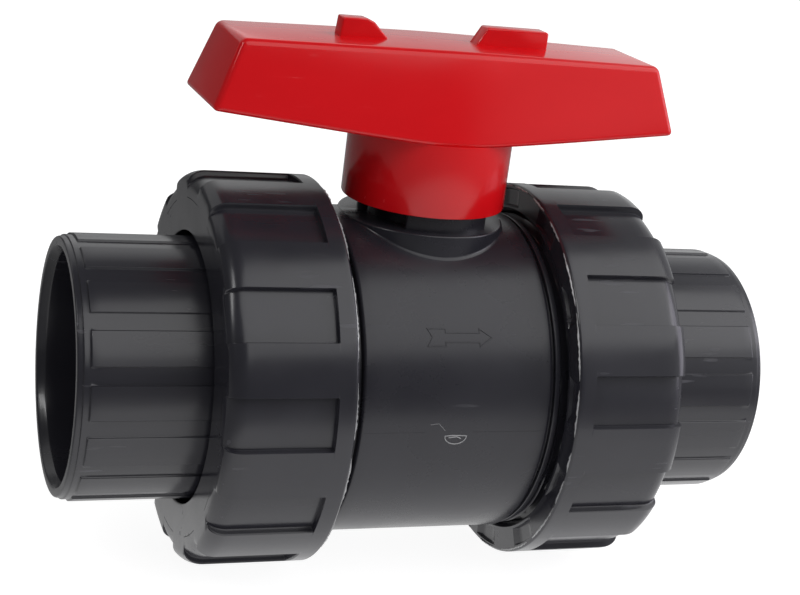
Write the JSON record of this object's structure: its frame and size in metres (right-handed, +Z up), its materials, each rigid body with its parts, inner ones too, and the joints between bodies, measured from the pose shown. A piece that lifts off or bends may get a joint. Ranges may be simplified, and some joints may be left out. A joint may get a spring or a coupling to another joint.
{
  "type": "true-union ball valve",
  "caption": "Plastic quarter-turn ball valve with a red wing handle, a union nut at each end and solvent-weld pipe sockets.",
  "frame": {"origin": "the ball's centre, where the pipe axis and the stem axis cross", "axes": "+X along the pipe axis in the flow direction, +Z up the stem to the handle, +Y completes a right-handed frame"},
  "size_m": [0.2, 0.1096, 0.1554],
  "materials": {
    "body_pvc": "dark grey moulded PVC, satin with a polished band",
    "ball_pvc": "dark grey PVC, turned and polished",
    "stem_pvc": "dark grey PVC",
    "o_ring_rubber": "black EPDM",
    "seat_ptfe": "white PTFE",
    "carrier_pvc": "dark grey moulded PVC",
    "connector_pvc": "dark grey moulded PVC with raised pads",
    "nut_pvc": "dark grey moulded PVC, satin",
    "handle_abs": "red moulded ABS, glossy"
  },
  "bodies": {
    "body": {"body": "body_pvc", "thrust_washer": "seat_ptfe", "seat_downstream": "seat_ptfe", "seat_upstream": "seat_ptfe", "seat_cushion_downstream": "o_ring_rubber", "seat_cushion_upstream": "o_ring_rubber", "seat_carrier": "carrier_pvc", "carrier_o_ring": "o_ring_rubber", "face_o_ring_left": "o_ring_rubber", "face_o_ring_right": "o_ring_rubber"},
    "ball": {"ball": "ball_pvc"},
    "stem": {"stem": "stem_pvc", "stem_o_ring_lower": "o_ring_rubber", "stem_o_ring_upper": "o_ring_rubber"},
    "handle": {"handle": "handle_abs"},
    "end_connector_left": {"end_connector_left": "connector_pvc"},
    "end_connector_right": {"end_connector_right": "connector_pvc"},
    "union_nut_left": {"union_nut_left": "nut_pvc"},
    "union_nut_right": {"union_nut_right": "nut_pvc"}
  },
  "joints": [
    {"name": "stem_turn", "type": "hinge", "parent": "body", "child": "stem", "pos_m": [0, 0, 0], "axis": [0, 0, -1], "range_deg": [0, 90]},
    {"name": "ball_turn", "type": "hinge", "parent": "body", "child": "ball", "pos_m": [0, 0, 0], "axis": [0, 0, -1], "range_deg": [0, 90]},
    {"name": "handle_lift", "type": "slide", "parent": "stem", "child": "handle", "axis": [0, 0, 1], "range_m": [0, 0.03]},
    {"name": "left_union_draw", "type": "slide", "parent": "body", "child": "end_connector_left", "axis": [-1, 0, 0], "range_m": [0, 0.015]},
    {"name": "left_nut_turn", "type": "hinge", "parent": "end_connector_left", "child": "union_nut_left", "pos_m": [-0.05, 0, 0], "axis": [-1, 0, 0], "range_deg": [0, 1008]},
    {"name": "right_union_draw", "type": "slide", "parent": "body", "child": "end_connector_right", "axis": [1, 0, 0], "range_m": [0, 0.015]},
    {"name": "right_nut_turn", "type": "hinge", "parent": "end_connector_right", "child": "union_nut_right", "pos_m": [0.05, 0, 0], "axis": [1, 0, 0], "range_deg": [0, 1008]}
  ],
  "couplings": [
    {"joint": "ball_turn", "follows": "stem_turn", "ratio": 1},
    {"joint": "left_union_draw", "follows": "left_nut_turn", "m_per_rad": 0.00079577},
    {"joint": "right_union_draw", "follows": "right_nut_turn", "m_per_rad": 0.00079577}
  ]
}
